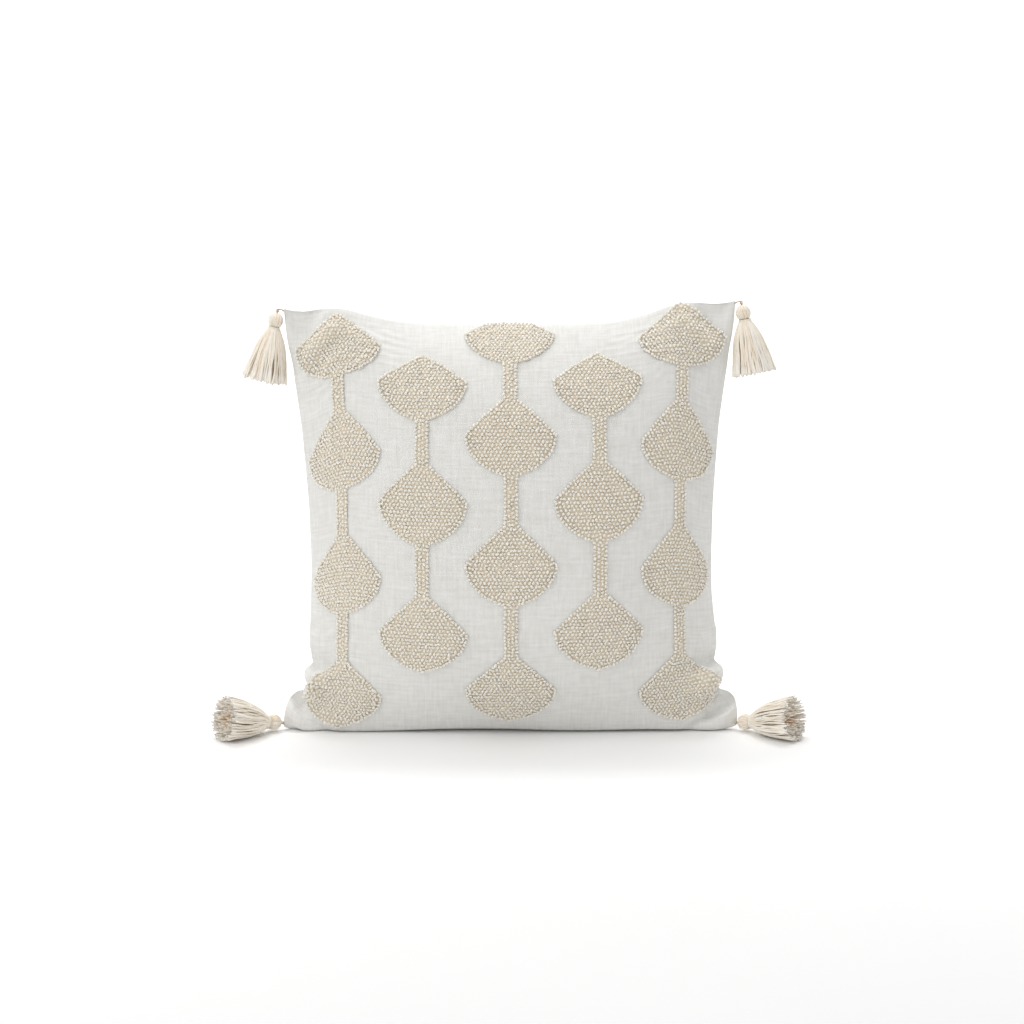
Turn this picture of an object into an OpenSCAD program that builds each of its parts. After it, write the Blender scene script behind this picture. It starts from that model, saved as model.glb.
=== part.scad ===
// Square throw pillow: a two-panel cover tufted on its front, closed by a zip in the lower seam,
// over a fibre-filled insert, with a yarn tassel on each corner.
// It stands on its lower seam. Front faces -Y, +X is to the right, the floor is z = 0.

/* [Cover] */
// Side of the square cover before it is stuffed
flat = 457; // [420:1:500]
// Width from corner to corner along the top seam, stuffed
top_w = 444; // [420:1:456]
// Width from corner to corner along the bottom seam, stuffed
bottom_w = 451; // [425:1:458]
// Half of the greatest thickness
half_t = 80; // [60:1:90]
// Height of the middle of the top seam
mid_h = 404.5; // [380:0.5:415]
// How far the top corners rise above the middle of the top seam
corner_rise = 19.5; // [5:0.5:25]
// How far the top seam leans back from the bottom seam
lean = 13; // [0:1:25]
// Half depth of the face that the pillow stands on
base_half = 25; // [22:1:32]
// Thickness of the cover cloth with its backing
cloth_t = 1.2; // [0.8:0.1:2]

/* [Tufting] */
// Height of the loops above the cloth
tuft_h = 3; // [2:0.5:4]
// Width of one leaf
leaf_w = 91; // [70:1:96]
// Width of the stems between the leaves
stem_w = 14.6; // [8:0.2:18]
// Distance from one column of leaves to the next, along the cloth
column_pitch = 87; // [80:1:88]
// Distance from one leaf to the next up a column, along the cloth
leaf_pitch = 122; // [118:1:123]

/* [Zip] */
// Length of each row of teeth
zip_len = 330; // [250:2:334]
// Length of the slider
slider_len = 9; // [8:0.5:11]
// Length of the pull tab
pull_len = 20; // [14:1:26]

/* [Insert] */
// Gap between the cover and the insert
insert_gap = 1.7; // [1:0.1:3]
// Thickness of the insert's cloth
insert_t = 0.8; // [0.5:0.1:1]

/* [Tassels] */
// Diameter of the head
head_d = 15; // [13:0.5:16]
// Height of the head
head_h = 16.5; // [14:0.5:18]
// Height of the skirt of strands
skirt_h = 49; // [40:1:56]
// Radius of the skirt at its free end
skirt_r = 21; // [17:0.5:22]
// Outward slant of the upper tassels, held by the side seams
upper_slant = 12; // [11.5:0.5:20]
// How far the lower tassels point towards the front
lower_yaw = 38; // [0:1:42]

/* [Hidden] */

cloth_colour = [0.90, 0.89, 0.86];
tuft_colour = [0.88, 0.82, 0.72];
yarn_colour = [0.93, 0.87, 0.80];
cord_colour = [0.80, 0.66, 0.50];
tape_colour = [0.92, 0.91, 0.88];
metal_colour = [0.75, 0.75, 0.74];
insert_colour = [0.96, 0.96, 0.95];
fill_colour = [0.98, 0.98, 0.97];

half_flat = flat / 2;

// place of the fattest level along the cloth, from -1 at the floor to 1 at the top
fat = -0.2;
low_arc = (fat + 1) * half_flat - 8;      // cloth from the floor to the fattest level
high_arc = (1 - fat) * half_flat;         // cloth from the fattest level to the top seam
front_arc = low_arc + high_arc;
low_curl = 0.066;                         // how much height the lower cloth loses by curving
high_curl = 0.137;                        // how much height the upper cloth loses by curving
side_curl = 0.094;                        // how much width the cloth loses, at the fattest level
level_h = low_arc * (1 - low_curl);       // height of the fattest level
rise_gain = (mid_h - level_h) / (high_arc * (1 - high_curl));
rim = 1.6;                                // half thickness of the cover at its seams
least_half = 0.3;                         // no layer comes nearer to the middle surface than this
low_power = 2.2;                          // how soon the fullness grows above the floor
high_power = 2.5;                         // how soon it falls off below the top seam
crown_power = 2.5;                        // how soon it falls off towards the side seams
base_power = 6;                           // the same for the flat face that it stands on
low_bend = 3.2;                           // how late the height is lost by curving, in the lower stretch
high_bend = 3.87;                         // the same in the upper stretch
side_bend = 2.87;                         // the same for the width
side_inset = 1.15;                        // how much a layer further in is pulled back at the side seams
edge_inset = 0.2;                         // share of a layer's inset that is left at the side seams
base_y = -3.7;                            // middle of the base, set so that the whole is centred on y = 0
seam_fwd = 12;                            // how far in front of it the lower seam runs

cols = 24;                                // cells across a panel
rows = 22;                                // cells up a panel
soft_cols = 16;                           // cells across the insert and its filling
soft_rows = 14;

// ---- zip section, across the lower seam ----
zip_y = base_y - seam_fwd;                // the zip's middle line
zip_z = 7;                                // the tapes' middle level
tape_t = 0.5;
tape_w = 6.5;
row_half = 2.2;                           // half width of the closed chain
row_gap = 0.55;                           // from the middle line to the teeth
row_t = 2;                                // thickness of the chain
tooth_pitch = 4;
tooth_len = 2.6;
spine_w = 0.7;                            // the coil's cord that joins the teeth of a row
slider_half = 3.3;
slot_clear = 0.3;                         // running clearance round the chain and the slider
plate_t = 1;
web_t = 0.5;                              // the divider between the slider's two plates
lip_gap = slider_half + slot_clear;       // from the middle line to the cover's folded edge
lip_h = zip_z - tape_t / 2 - slot_clear - 0.1;
stop_len = 2;
bar_r = 0.5;                              // the bar that the pull turns on
eye_r = 0.8;
eye_wall = 0.35;
eye_half = 0.95;                          // half width of the pull at its eye
pull_t = 0.9;
pull_half = 1.8;
lug_t = 0.7;
slider_x = zip_len / 2 - slider_len / 2 + 1;
plate_low = zip_z - row_t / 2 - slot_clear - plate_t;
bar_z = plate_low - eye_r - eye_wall - slot_clear;
insert_lift = 12;                         // the insert starts above the zip

// ---- cover surface ----
function smooth(t) = let (c = min(1, max(0, t))) c * c * (3 - 2 * c);
function power(s, p) = pow(abs(s), p);

// a is the height along the cloth, from 0 at the floor to front_arc at the top, in two stretches
function low_share(a) = max(0, (low_arc - a) / low_arc);
function high_share(a) = max(0, (a - low_arc) / high_arc);

// fullness up the middle of a panel: 0 at the floor and the top seam, 1 at the fattest level
function fullness(a) = a < low_arc ? 1 - pow(low_share(a), low_power) : 1 - pow(high_share(a), high_power);
function crown(s) = 1 - power(s, crown_power);
function base_crown(s) = 1 - power(s, base_power);

function half_at(s, a, h) =
    rim + (h - rim) * crown(s) * fullness(a)
    + (a < low_arc ? (base_half - rim) * base_crown(s) * (1 - fullness(a)) : 0);

// middle surface of the cover: it leans back, and its lower corners come forward to the lower seam
function mid_y(s, a) = base_y + lean * a / front_arc
    - seam_fwd * power(s, base_power) * pow(low_share(a), 2);

function level(a) =
    a < low_arc
    ? level_h - low_arc * (low_share(a) - low_curl * pow(low_share(a), low_bend))
    : level_h + rise_gain * high_arc * (high_share(a) - high_curl * pow(high_share(a), high_bend));

function width_at(a) = (bottom_w + (top_w - bottom_w) * a / front_arc) / flat;

function across(s, a) =
    let (q = pow(half_at(0, a, half_t) / half_t, 2))
    width_at(a) * half_flat * s * (1 - side_curl * q * power(s, side_bend));

// A point of the cover: s is -1..1 across the cloth, and side is -1 for the front or 1 for the back.
// inset moves it inwards, and lift is the lowest level that it may have.
function cover_point(s, a, side, inset, lift) =
    let (
        x = across(s, a) * (1 - side_inset * inset / half_flat),
        sunk = inset * (edge_inset + (1 - edge_inset) * crown(s)),
        y = mid_y(s, a) + side * max(least_half, half_at(s, a, half_t) - sunk),
        top = mid_h / 2,
        z0 = level(a) + corner_rise * smooth((abs(s) - 0.4) / 0.55) * pow(a / front_arc, 2),
        z = top + (z0 - top) * (1 - inset / top)
    )
    [x, y, max(z, lift)];

// The folded edge at the lower seam: open over the zip's length, closed towards the corners.
seam_gap = 0.15;                          // from the closed seam's middle to each panel
seam_h = 0.5;                             // height of the closed seam's edge
fold_w = 0.6;                             // width of the fold
zip_reach = 0.77;                         // the share of the width over which the seam is open
function zip_share(s) = 1 - smooth((abs(s) - zip_reach) / (1 - zip_reach));
function edge_point(s, side, inset, lift, is_lip, has_zip) =
    let (
        e = has_zip ? zip_share(s) : 0,
        gap = seam_gap + (lip_gap - seam_gap) * e + inset / 2,
        top = (has_zip ? 0 : lift) + seam_h + (lip_h - seam_h) * e
    )
    [across(s, 0) * (1 - side_inset * inset / half_flat),
        zip_y + side * (gap + (is_lip ? 0 : fold_w)), is_lip ? top : lift];

// a grid of points: two rows for the folded edge, then the panel from the floor to the top seam
function panel_grid(side, inset, lift, nc, nr, has_zip) = concat(
    [[for (i = [0:nc]) edge_point(2 * i / nc - 1, side, inset, lift, true, has_zip)]],
    [[for (i = [0:nc]) edge_point(2 * i / nc - 1, side, inset, lift, false, has_zip)]],
    [for (j = [0:nr]) [for (i = [0:nc])
        cover_point(2 * i / nc - 1, front_arc * (1 - cos(180 * j / nr)) / 2, side, inset, lift)]]
);

// The closed solid between two grids of the same size. outer is seen from outside.
module between(outer, inner) {
    nr = len(outer) - 1;
    nc = len(outer[0]) - 1;
    w = nc + 1;
    n = w * (nr + 1);
    points = concat([for (r = outer) each r], [for (r = inner) each r]);
    skin = [for (j = [0:nr - 1]) for (i = [0:nc - 1])
        let (a = j * w + i) each [[a, a + w, a + w + 1], [a, a + w + 1, a + 1]]];
    lining = [for (f = skin) [f[0] + n, f[2] + n, f[1] + n]];
    border = concat(
        [for (i = [0:nc - 1]) [i, i + 1]],
        [for (j = [0:nr - 1]) [j * w + nc, (j + 1) * w + nc]],
        [for (i = [nc:-1:1]) [nr * w + i, nr * w + i - 1]],
        [for (j = [nr:-1:1]) [j * w, (j - 1) * w]]
    );
    walls = [for (e = border) each [[e[0], e[1], e[1] + n], [e[0], e[1] + n, e[0] + n]]];
    polyhedron(points = points, faces = concat(skin, lining, walls), convexity = 6);
}

module shell(side, inset, t, lift, nc, nr, has_zip) {
    outer = panel_grid(side, inset, lift, nc, nr, has_zip);
    inner = panel_grid(side, inset + t, lift + t, nc, nr, has_zip);
    if (side < 0) between(outer, inner);
    else between(inner, outer);
}

module front_panel() {
    color(cloth_colour) shell(-1, 0, cloth_t, 0, cols, rows, true);
}

module back_panel() {
    color(cloth_colour) shell(1, 0, cloth_t, 0, cols, rows, true);
}

// ---- tufting ----
leaf_low = 40.5;                          // from a leaf's bottom to its side corners
leaf_high = 36.5;                         // from the side corners to the stem above
peak_high = 33;                           // the same on a column's top leaf, which ends in a peak
least_peak = 4;                           // half width at the peak
first_leaf = 21.7;                        // from the floor to the lowest leaf of the middle column
column_drop = [12, 5, 0, 2, 5];           // how much lower than that each column is sewn
leaf_gain = 0.07;                         // the leaves are further apart near the floor than near the top
leaf_ease = 0.0002;
outer_share = 0.981;                      // and a little closer together in the two outer columns
sew_in = 0.6;                             // how deep the yarn is anchored in the cloth
tuft_top = front_arc - 3;                 // the top seam cuts the columns here
tuft_cells = 6;

// half width of the outline at f above a leaf's bottom; least is its half width where the leaf begins
function leaf_half(f, least, is_top) =
    f < leaf_low
    ? max(least, leaf_w / 2 * pow(1 - pow(1 - f / leaf_low, 2), 0.62))
    : is_top
    ? max(least_peak, leaf_w / 2 * pow(1 - pow(min(1, (f - leaf_low) / peak_high), 1.1), 0.9))
    : stem_w / 2 + (leaf_w - stem_w) / 2 * (1 - pow(min(1, (f - leaf_low) / leaf_high), 1.1));

// distances up one leaf at which its outline is taken, then up a column's top leaf
leaf_steps = [0.5, 2, 5, 10, 18, 29, 40.5, 46, 56, 66, 76];
top_steps = [0.5, 2, 5, 10, 18, 29, 40.5, 46, 53, 60, 66, 71];

function row_level(w) = w * (1 + leaf_gain) - leaf_ease * w * w;
function leaf_start(j, col) =
    first_leaf - column_drop[col - 1]
        + row_level((j + (col % 2 == 1 ? 0 : 0.5)) * leaf_pitch) * (abs(col - 3) == 2 ? outer_share : 1);
function leaf_count(col) = col % 2 == 1 ? 4 : 3;
// each level of a column's outline: the place up the cloth and the half width there
function column_levels(col) =
    let (n = leaf_count(col), last = leaf_start(n - 1, col))
    concat(
        [for (j = [0:n - 2]) for (f = leaf_steps)
            [leaf_start(j, col) + f, leaf_half(f, j == 0 ? 4 : stem_w / 2, false)]],
        [for (f = top_steps) if (last + f < tuft_top) [last + f, leaf_half(f, stem_w / 2, true)]]
    );

function tuft_point(u, a, off) =
    let (
        d = 0.002,
        s = u / half_flat,
        p = cover_point(s, a, -1, 0, 0),
        ps = cover_point(s + d, a, -1, 0, 0) - p,
        pa = cover_point(s, a + 1, -1, 0, 0) - p,
        n = cross(ps, pa)
    )
    p + off * n / norm(n);

function tuft_grid(col, off) = [for (v = column_levels(col))
    [for (i = [0:tuft_cells])
        tuft_point((col - 3) * column_pitch + (2 * i / tuft_cells - 1) * v[1], v[0], off)]];

module tufted_column(col) {
    color(tuft_colour) between(tuft_grid(col, tuft_h), tuft_grid(col, -sew_in));
}

module tufted_column_1() { tufted_column(1); }
module tufted_column_2() { tufted_column(2); }
module tufted_column_3() { tufted_column(3); }
module tufted_column_4() { tufted_column(4); }
module tufted_column_5() { tufted_column(5); }

// ---- zip ----
module block(x0, x1, y0, y1, z0, z1) {
    translate([x0, y0, z0]) cube([x1 - x0, y1 - y0, z1 - z0]);
}

module zip_tape(side) {
    x = zip_len / 2 + 6;
    y0 = side < 0 ? -row_half - tape_w : row_half;
    color(tape_colour) translate([0, zip_y, zip_z])
        block(-x, x, y0, y0 + tape_w, -tape_t / 2, tape_t / 2);
}

module zip_teeth(side) {
    shift = side < 0 ? 0 : tooth_pitch / 2;
    count = floor(zip_len / tooth_pitch) - 1;
    spine_y = side < 0 ? -row_half : row_half - spine_w;
    tooth_y = side < 0 ? -row_half : row_gap;
    color(tape_colour) translate([0, zip_y, zip_z]) {
        block(-zip_len / 2, zip_len / 2, spine_y, spine_y + spine_w, -row_t / 2, row_t / 2);
        for (k = [0:count]) {
            x = -zip_len / 2 + shift + k * tooth_pitch;
            block(x, x + tooth_len, tooth_y, tooth_y + row_half - row_gap, -row_t / 2, row_t / 2);
        }
    }
}

module zip_tape_front() { zip_tape(-1); }
module zip_tape_back() { zip_tape(1); }
module zip_teeth_front() { zip_teeth(-1); }
module zip_teeth_back() { zip_teeth(1); }

module zip_bottom_stop() {
    x = -zip_len / 2 - stop_len;
    color(metal_colour) translate([0, zip_y, zip_z])
        block(x, x + stop_len, -row_half, row_half, -row_t / 2, row_t / 2);
}

module zip_top_stops() {
    x = zip_len / 2 + 1.5;
    color(metal_colour) translate([0, zip_y, zip_z]) {
        block(x, x + stop_len, -row_half, -row_gap, -row_t / 2, row_t / 2);
        block(x, x + stop_len, row_gap, row_half, -row_t / 2, row_t / 2);
    }
}

module zip_slider() {
    half_l = slider_len / 2;
    inner = row_t / 2 + slot_clear;
    flange = 0.6;                         // wall thickness of the plates' turned edges
    slot = tape_t / 2 + slot_clear;
    lug_y = eye_half + slot_clear;
    bar_h = 2 * (lug_y + lug_t);
    color(metal_colour) translate([slider_x, zip_y, zip_z]) {
        for (m = [-1, 1]) scale([1, 1, m]) {
            block(-half_l, half_l, -slider_half, slider_half, inner, inner + plate_t);
            for (side = [-1, 1]) scale([1, side, 1])
                block(-half_l, half_l, slider_half - flange, slider_half, slot, inner);
        }
        block(1 - half_l, 0, -web_t / 2, web_t / 2, -inner, inner);
        for (side = [-1, 1]) scale([1, side, 1])
            block(-1.1, 1.1, lug_y, lug_y + lug_t, bar_z - zip_z - lug_t, plate_low - zip_z);
        translate([0, 0, bar_z - zip_z]) rotate([90, 0, 0])
            cylinder(r = bar_r, h = bar_h, center = true, $fn = 32);
    }
}

module zip_pull() {
    color(metal_colour) translate([slider_x, zip_y, bar_z]) difference() {
        union() {
            rotate([90, 0, 0]) cylinder(r = eye_r + eye_wall, h = 2 * eye_half, center = true, $fn = 40);
            block(-4, -0.5, -eye_half, eye_half, -pull_t, 0);
            block(-pull_len, -3.5, -pull_half, pull_half, -pull_t, 0);
        }
        rotate([90, 0, 0]) cylinder(r = eye_r, h = 6, center = true, $fn = 40);
    }
}

// ---- insert ----
layer_gap = 0.4;                          // between the insert's cloth and its filling
insert_inset = cloth_t + insert_gap;
fill_inset = insert_inset + insert_t + layer_gap;

module insert_front() {
    color(insert_colour) shell(-1, insert_inset, insert_t, insert_lift, soft_cols, soft_rows, false);
}

module insert_back() {
    color(insert_colour) shell(1, insert_inset, insert_t, insert_lift, soft_cols, soft_rows, false);
}

module fibre_fill() {
    lift = insert_lift + insert_t + layer_gap;
    front = [for (r = [2:soft_rows + 2]) panel_grid(-1, fill_inset, lift, soft_cols, soft_rows, false)[r]];
    back = [for (r = [2:soft_rows + 2]) panel_grid(1, fill_inset, lift, soft_cols, soft_rows, false)[r]];
    color(fill_colour) between(front, back);
}

module insert_label() {
    label = [30, 9, 0.6];
    color(insert_colour) translate([120, base_y + 2, insert_lift - label[2]]) cube(label);
}

// ---- tassels: drawn hanging along -Z from the point where the cord leaves the seam ----
cord_r = 0.8;
loop_r = 1.6;
loop_gap = 0.4;                           // from the seam to the loop, and from the loop to the head
head_top = loop_gap + 2 * (loop_r + cord_r) + loop_gap;
neck_r = 5.2;
wrap_r = 6.4;
wrap_h = 2.6;
neck_top = head_top + head_h - 1.6;
skirt_top = neck_top + wrap_h;
upper_bell = 3.2;                         // how soon a hanging skirt widens below the neck
lower_bell = 2;                           // the same for one that lies on the floor

// where each tassel hangs: the corner point, and the turn that takes -Z to the tassel's direction
top_z = mid_h + corner_rise + 0.3;
top_x = top_w / 2 + 5;
low_x = bottom_w / 2 - 0.5;
low_z = 6.3;
lower_lift = 13;                        // the lower tassels lie on their strands

module hung(at, left) {
    x = at == "top" ? top_x : low_x;
    turn = at == "top" ? upper_slant : 90 + lower_lift;
    yaw = at == "top" ? 0 : lower_yaw;
    y = at == "top" ? base_y + lean - 0.5 : zip_y;
    z = at == "top" ? top_z : low_z;
    mirror([left ? 1 : 0, 0, 0])
        translate([x, y, z]) rotate([0, 0, -yaw]) rotate([0, -turn, 0]) children();
}

module tassel_loop(at, left) {
    color(cord_colour) hung(at, left) translate([0, 0, -loop_gap - loop_r - cord_r]) rotate([90, 0, 0])
        rotate_extrude($fn = 48) translate([loop_r, 0]) circle(r = cord_r, $fn = 24);
}

module tassel_head(at, left) {
    r = head_d / 2;
    color(yarn_colour) hung(at, left) rotate_extrude($fn = 64) intersection() {
        union() {
            translate([0, -head_top - head_h / 2]) scale([1, head_h / head_d]) circle(r = r, $fn = 96);
            translate([0, -skirt_top]) square([neck_r, wrap_h + 2]);
        }
        translate([0, -skirt_top]) square([r + 1, skirt_top]);
    }
}

module tassel_binding(at, left) {
    color(yarn_colour) hung(at, left) translate([0, 0, -skirt_top]) difference() {
        cylinder(r = wrap_r, h = wrap_h / 2, $fn = 64);
        translate([0, 0, -1]) cylinder(r = neck_r, h = wrap_h + 2, $fn = 64);
    }
}

// the outline of the bundle of strands, from its top at the neck to its free end
function skirt_radius(t, bell) = neck_r + (skirt_r - neck_r) * (1 - pow(1 - t, bell));

module tassel_skirt(at, left) {
    steps = 8;
    bell = at == "top" ? upper_bell : lower_bell;
    side = [for (k = [0:steps])
        let (t = pow(k / steps, 1.5)) [skirt_radius(t, bell), -skirt_top - skirt_h * t]];
    color(yarn_colour) hung(at, left) rotate_extrude($fn = 64)
        polygon(concat([[0, -skirt_top]], side, [[0, -skirt_top - skirt_h]]));
}

module loop_top_left() { tassel_loop("top", true); }
module head_top_left() { tassel_head("top", true); }
module binding_top_left() { tassel_binding("top", true); }
module skirt_top_left() { tassel_skirt("top", true); }
module loop_top_right() { tassel_loop("top", false); }
module head_top_right() { tassel_head("top", false); }
module binding_top_right() { tassel_binding("top", false); }
module skirt_top_right() { tassel_skirt("top", false); }
module loop_bottom_left() { tassel_loop("bottom", true); }
module head_bottom_left() { tassel_head("bottom", true); }
module binding_bottom_left() { tassel_binding("bottom", true); }
module skirt_bottom_left() { tassel_skirt("bottom", true); }
module loop_bottom_right() { tassel_loop("bottom", false); }
module head_bottom_right() { tassel_head("bottom", false); }
module binding_bottom_right() { tassel_binding("bottom", false); }
module skirt_bottom_right() { tassel_skirt("bottom", false); }

front_panel();
back_panel();
tufted_column_1();
tufted_column_2();
tufted_column_3();
tufted_column_4();
tufted_column_5();
zip_tape_front();
zip_tape_back();
zip_teeth_front();
zip_teeth_back();
zip_bottom_stop();
zip_top_stops();
zip_slider();
zip_pull();
insert_front();
insert_back();
fibre_fill();
insert_label();
loop_top_left();
head_top_left();
binding_top_left();
skirt_top_left();
loop_top_right();
head_top_right();
binding_top_right();
skirt_top_right();
loop_bottom_left();
head_bottom_left();
binding_bottom_left();
skirt_bottom_left();
loop_bottom_right();
head_bottom_right();
binding_bottom_right();
skirt_bottom_right();
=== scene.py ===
"""Square throw pillow with tufted leaves and a tassel on each corner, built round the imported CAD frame."""
import math

import bpy
import numpy as np
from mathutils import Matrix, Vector


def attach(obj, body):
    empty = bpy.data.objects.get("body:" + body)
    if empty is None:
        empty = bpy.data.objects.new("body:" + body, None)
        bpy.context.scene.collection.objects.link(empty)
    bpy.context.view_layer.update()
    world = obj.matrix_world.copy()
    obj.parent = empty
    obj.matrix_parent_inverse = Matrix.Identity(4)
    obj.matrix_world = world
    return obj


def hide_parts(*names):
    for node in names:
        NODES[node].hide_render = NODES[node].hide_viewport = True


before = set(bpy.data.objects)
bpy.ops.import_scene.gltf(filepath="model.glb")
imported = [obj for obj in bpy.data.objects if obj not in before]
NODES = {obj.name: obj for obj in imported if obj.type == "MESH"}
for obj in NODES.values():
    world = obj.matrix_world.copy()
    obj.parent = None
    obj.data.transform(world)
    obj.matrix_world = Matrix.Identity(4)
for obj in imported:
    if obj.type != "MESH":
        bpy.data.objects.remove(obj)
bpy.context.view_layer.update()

# ---- the pillow's driving sizes, as in part.scad, in metres
FLAT, TOP_W, BOTTOM_W, HALF_T = 0.457, 0.444, 0.451, 0.080
MID_H, RISE, LEAN = 0.4045, 0.0195, 0.013
TILT = 0.0038  # the right top corner stands this much higher, the left one lower
BASE_Y, SEAM_FWD, BASE_HALF, RIM = -0.0037, 0.012, 0.025, 0.0016
ZIP_Y = BASE_Y - SEAM_FWD
HALF = FLAT / 2
LOW, HIGH = 0.8 * HALF - 0.008, 1.2 * HALF  # cloth below and above the fattest level
ARC = LOW + HIGH
LEVEL = LOW * (1 - 0.066)
GAIN = (MID_H - LEVEL) / (HIGH * (1 - 0.137))
FRONT_FOOT, BACK_FOOT = 0.0094, 0.0334  # cloth from the lower seam to where a panel leaves the floor
CLOTH_T = 0.0010
SIDE_CURL, SIDE_SHIFT = 0.094, 0.0015  # how far the sides pull in, and lean to the right
COARSE, MEDIUM, FINE = 32, 64, 128  # cells along a panel's side on the simulation's three grids
SEAM_HELD = 0.1305  # below this the side seam follows its course closely


def smooth(t):
    t = np.clip(t, 0, 1)
    return t * t * (3 - 2 * t)


# ------------------------------------------------ shape that the filling gives the cover
def low_share(a):
    return np.clip((LOW - a) / LOW, 0, 1)


def high_share(a):
    return np.clip((a - LOW) / HIGH, 0, 1)


def half_at(s, a):
    full = np.where(a < LOW, 1 - low_share(a) ** 2.2, 1 - high_share(a) ** 2.5)
    base = np.where(a < LOW, (BASE_HALF - RIM) * (1 - np.abs(s) ** 6) * (1 - full), 0)
    return RIM + (HALF_T - RIM) * (1 - np.abs(s) ** 2.5) * full + base


def full_point(s, a, side):
    """The stuffed cover at s (-1 to 1 across) and a (cloth above the floor). side: -1 front, 1 back."""
    q = (half_at(0 * s, a) / HALF_T) ** 2
    width = (BOTTOM_W + (TOP_W - BOTTOM_W) * a / ARC) / FLAT
    x = width * HALF * s * (1 - SIDE_CURL * q * np.abs(s) ** 2.87) + SIDE_SHIFT * q
    lo, hi = low_share(a), high_share(a)
    below, above = LOW * (lo - 0.066 * lo ** 3.2), GAIN * HIGH * (hi - 0.137 * hi ** 3.87)
    z = np.where(a < LOW, LEVEL - below, LEVEL + above)
    z = z + (RISE + TILT * np.sign(s)) * smooth((np.abs(s) - 0.4) / 0.55) * (a / ARC) ** 2
    middle = BASE_Y + LEAN * a / ARC - SEAM_FWD * np.abs(s) ** 6 * low_share(a) ** 2
    return np.stack([x, middle + side * half_at(s, a), z], -1)


# The course of each side seam: distance along it, distance out, height. Above the lower corner it stands up
# as an ear, turns in at a pinch, and comes out again below the straight side.
SEAMS = {
    -1: ((0, .2262, .0028), (.0145, .2262, .0172), (.0272, .2240, .0285), (.0368, .2180, .0360),
         (.0478, .2080, .0405), (.0560, .1990, .0420), (.0635, .2050, .0470), (.0700, .2070, .0530),
         (.0785, .2045, .0610), (.0880, .1972, .0655), (.0970, .2000, .0725), (.130, .2010, .1005),
         (.200, .1992, .1685), (.260, .2010, .227), (.340, .2065, .304), (.400, .2130, .362),
         (FLAT, .2215, 0)),
    1: ((0, .2275, .0042), (.020, .2290, .0236), (.0332, .2265, .0345), (.0396, .2215, .0385),
        (.0523, .2090, .0410), (.0590, .2135, .0460), (.0665, .2158, .0530), (.0755, .2150, .0620),
        (.0890, .2060, .0690), (.0985, .2085, .0755), (.130, .2080, .1035), (.165, .2040, .138),
        (.200, .2030, .1735), (.260, .2040, .232), (.340, .2080, .310), (FLAT, .2220, 0)),
}
# Creases in the cover: start, middle and end (across, up the cloth), width, depth.
CREASES = (
    (((-0.226, 0.045), (-0.209, 0.028), (-0.185, 0.009)), 0.0044, 0.0095),
    (((-0.208, 0.070), (-0.199, 0.062), (-0.190, 0.055)), 0.0040, 0.0070),
    (((-0.219, 0.085), (-0.204, 0.087), (-0.189, 0.088)), 0.0044, 0.0040),
    (((0.225, 0.032), (0.198, 0.024), (0.181, 0.012)), 0.0044, 0.0105),
    (((0.224, 0.043), (0.210, 0.038), (0.195, 0.027)), 0.0044, 0.0060),
    (((0.226, 0.082), (0.214, 0.088), (0.205, 0.090)), 0.0042, 0.0030),
)
CREASE_MARKS = 60  # points along a crease


def seam_course(v, sign):
    p = np.array(SEAMS[sign])
    p[-1, 2] = MID_H + RISE + sign * TILT
    return sign * np.interp(v, p[:, 0], p[:, 1]), np.interp(v, p[:, 0], p[:, 2])


def goal_point(U, V, side):
    """Where the filling would hold the cloth point U across and V up from the lower seam."""
    s = U / HALF
    foot = FRONT_FOOT if side < 0 else BACK_FOOT
    p = full_point(s, np.clip((V - foot) / (FLAT - foot), 0, 1) * ARC, side)
    under = np.clip((foot - V) / foot, 0, 1)
    p[..., 1] = p[..., 1] * (1 - under) + (ZIP_Y + side * 0.0012) * under
    near, near_x = smooth((np.abs(s) - 0.7) / 0.3), smooth((np.abs(s) - 0.88) / 0.12)
    for sign, m in ((-1, U < 0), (1, U >= 0)):
        ex, ez = seam_course(V[m], sign)
        p[m, 2] += near[m] * (ez - p[m, 2])
        p[m, 0] += near_x[m] * (ex * np.abs(s[m]) - p[m, 0])
    bulge = cheek(U, V)
    dent = np.exp(-((np.abs(U) - 0.212) / 0.024) ** 2 - ((V - 0.092) / 0.008) ** 2)
    p[..., 1] += side * (0.014 * bulge - 0.008 * dent)
    p[..., 0] += np.sign(U) * 0.004 * bulge
    return p


def cheek(U, V):
    """1 where the filling bulges over the ear, below the pinch of the side seam, falling to 0 round it."""
    return np.exp(-((np.abs(U) - 0.206) / 0.017) ** 2 - ((V - 0.068) / 0.016) ** 2)


# ------------------------------------------------ cloth simulation: two panels sewn together
def panel_ids(n):
    """Point numbers of the front and back panels, [row up][column across]. They share the seam's points."""
    f = np.arange((n + 1) ** 2).reshape(n + 1, n + 1)
    b = f.copy()
    b[1:-1, 1:-1] = (n + 1) ** 2 + np.arange((n - 1) ** 2).reshape(n - 1, n - 1)
    return f, b


def links(ids, di, dj):
    """The pairs from (row, column) to (row + di, column + dj), in two sets that share no point."""
    h, w = ids.shape
    i, j = np.meshgrid(np.arange(h - di), np.arange(max(0, -dj), w - max(0, dj)), indexing="ij")
    key = (i if di else j) // (di if di else abs(dj)) % 2
    return [(ids[i[key == c], j[key == c]], ids[i[key == c] + di, j[key == c] + dj]) for c in (0, 1)]


def material_grid(n):
    u = np.linspace(-HALF, HALF, n + 1)
    V, U = np.meshgrid(u + HALF, u, indexing="ij")
    return U, V


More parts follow.
